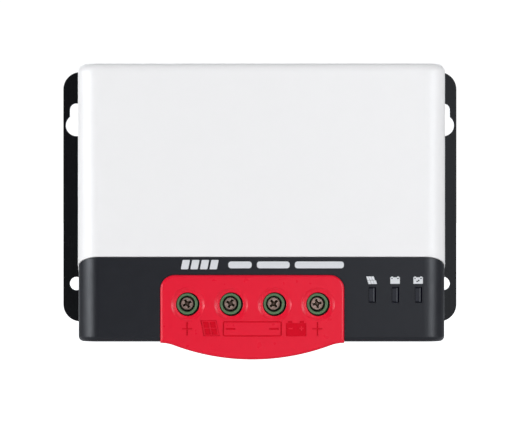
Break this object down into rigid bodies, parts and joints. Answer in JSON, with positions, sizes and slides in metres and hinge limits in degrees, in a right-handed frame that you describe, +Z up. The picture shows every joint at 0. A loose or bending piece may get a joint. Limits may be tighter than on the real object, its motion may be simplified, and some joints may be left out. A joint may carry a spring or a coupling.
{
  "type": "charge controller",
  "caption": "Wall-mounted solar charge controller: finned heat sink with flanges, two-part case, lift-off terminal cover, screw terminals, indicator lenses.",
  "frame": {"origin": "the centre of the four wall holes, on the plane of the wall", "axes": "+Y goes into the wall, so the front faces -Y; +Z is up; +X is to the viewer's right when facing the front"},
  "size_m": [0.238, 0.0725, 0.1735],
  "materials": {
    "white_plastic": "satin moulded, fine grain",
    "black_plastic": "satin moulded, fine grain",
    "red_plastic": "glossy moulded",
    "green_plastic": "satin, glass-filled",
    "black_anodised": "black anodised extrusion",
    "zinc_steel": "bright zinc plated",
    "tinned_copper": "tin plated",
    "enamelled_copper": "clear enamel over drawn wire",
    "circuit_board": "solder mask over glass laminate",
    "black_component": "matt moulded epoxy",
    "capacitor_sleeve": "shrink sleeve",
    "film_capacitor": "glossy potted box",
    "powder_core": "painted iron powder",
    "fuse_plastic": "tinted clear moulding",
    "tinned_steel": "bright tinned",
    "gold_contact": "gold flash",
    "smoked_lens": "smoked clear moulding",
    "led_body": "matt white package",
    "silicone_pad": "matt filled silicone",
    "ribbon_plastic": "satin extruded",
    "socket_plastic": "satin moulded",
    "key_plastic": "satin moulded"
  },
  "bodies": {
    "housing": {"heat_sink": "black_anodised", "upper_shell": "white_plastic", "lower_shell": "black_plastic", "main_board": "circuit_board", "indicator_board": "circuit_board", "contact_bars": "tinned_copper", "bus_bars": "tinned_copper", "board_standoffs": "zinc_steel", "board_screws": "zinc_steel", "shell_screws": "zinc_steel", "transistor_screws": "zinc_steel", "indicator_screws": "zinc_steel", "thermal_pad": "silicone_pad", "transistor_tabs": "tinned_copper", "transistor_bodies": "black_component", "transistor_leads": "tinned_steel", "inductor_bases": "black_component", "inductor_cores": "powder_core", "inductor_windings": "enamelled_copper", "input_capacitors": "capacitor_sleeve", "output_capacitors": "capacitor_sleeve", "film_capacitors": "film_capacitor", "fuses": "fuse_plastic", "shunt_resistor": "tinned_steel", "microcontroller": "black_component", "driver_chips": "black_component", "pv_light_pipe": "smoked_lens", "battery_light_pipe": "smoked_lens", "battery_type_light_pipe": "smoked_lens", "indicator_leds": "led_body", "ribbon_sockets": "socket_plastic", "ribbon_cable": "ribbon_plastic", "data_socket": "socket_plastic", "data_contacts": "gold_contact", "sensor_socket": "green_plastic", "sensor_pins": "tinned_steel", "key_switch": "black_component", "pv_positive_block": "green_plastic", "pv_negative_block": "green_plastic", "battery_negative_block": "green_plastic", "battery_positive_block": "green_plastic"},
    "cover": {"terminal_cover": "red_plastic"},
    "key": {"type_key": "key_plastic", "key_plunger": "key_plastic"},
    "pv_positive_screw": {"pv_positive_screw": "zinc_steel"},
    "pv_positive_cage": {"pv_positive_cage": "zinc_steel"},
    "pv_negative_screw": {"pv_negative_screw": "zinc_steel"},
    "pv_negative_cage": {"pv_negative_cage": "zinc_steel"},
    "battery_negative_screw": {"battery_negative_screw": "zinc_steel"},
    "battery_negative_cage": {"battery_negative_cage": "zinc_steel"},
    "battery_positive_screw": {"battery_positive_screw": "zinc_steel"},
    "battery_positive_cage": {"battery_positive_cage": "zinc_steel"}
  },
  "joints": [
    {"name": "cover_release", "type": "slide", "parent": "housing", "child": "cover", "axis": [0, -1, 0], "range_m": [0, 0.03]},
    {"name": "key_press", "type": "slide", "parent": "housing", "child": "key", "axis": [0, 0, 1], "range_m": [0, 0.0004], "stiffness_N_per_m": 150},
    {"name": "pv_positive_turn", "type": "hinge", "parent": "housing", "child": "pv_positive_screw", "pos_m": [-0.0437, -0.0616, -0.0631], "axis": [0, 1, 0], "range_deg": [0, 2520]},
    {"name": "pv_positive_clamp", "type": "slide", "parent": "housing", "child": "pv_positive_cage", "axis": [0, -1, 0], "range_m": [0, 0.0056]},
    {"name": "pv_negative_turn", "type": "hinge", "parent": "housing", "child": "pv_negative_screw", "pos_m": [-0.0183, -0.0616, -0.0631], "axis": [0, 1, 0], "range_deg": [0, 2520]},
    {"name": "pv_negative_clamp", "type": "slide", "parent": "housing", "child": "pv_negative_cage", "axis": [0, -1, 0], "range_m": [0, 0.0056]},
    {"name": "battery_negative_turn", "type": "hinge", "parent": "housing", "child": "battery_negative_screw", "pos_m": [0.0071, -0.0616, -0.0631], "axis": [0, 1, 0], "range_deg": [0, 2520]},
    {"name": "battery_negative_clamp", "type": "slide", "parent": "housing", "child": "battery_negative_cage", "axis": [0, -1, 0], "range_m": [0, 0.0056]},
    {"name": "battery_positive_turn", "type": "hinge", "parent": "housing", "child": "battery_positive_screw", "pos_m": [0.0325, -0.0616, -0.0631], "axis": [0, 1, 0], "range_deg": [0, 2520]},
    {"name": "battery_positive_clamp", "type": "slide", "parent": "housing", "child": "battery_positive_cage", "axis": [0, -1, 0], "range_m": [0, 0.0056]}
  ],
  "couplings": [
    {"joint": "pv_positive_turn", "follows": "pv_positive_clamp", "rad_per_m": 7853.9},
    {"joint": "pv_negative_turn", "follows": "pv_negative_clamp", "rad_per_m": 7853.9},
    {"joint": "battery_negative_turn", "follows": "battery_negative_clamp", "rad_per_m": 7853.9},
    {"joint": "battery_positive_turn", "follows": "battery_positive_clamp", "rad_per_m": 7853.9}
  ]
}
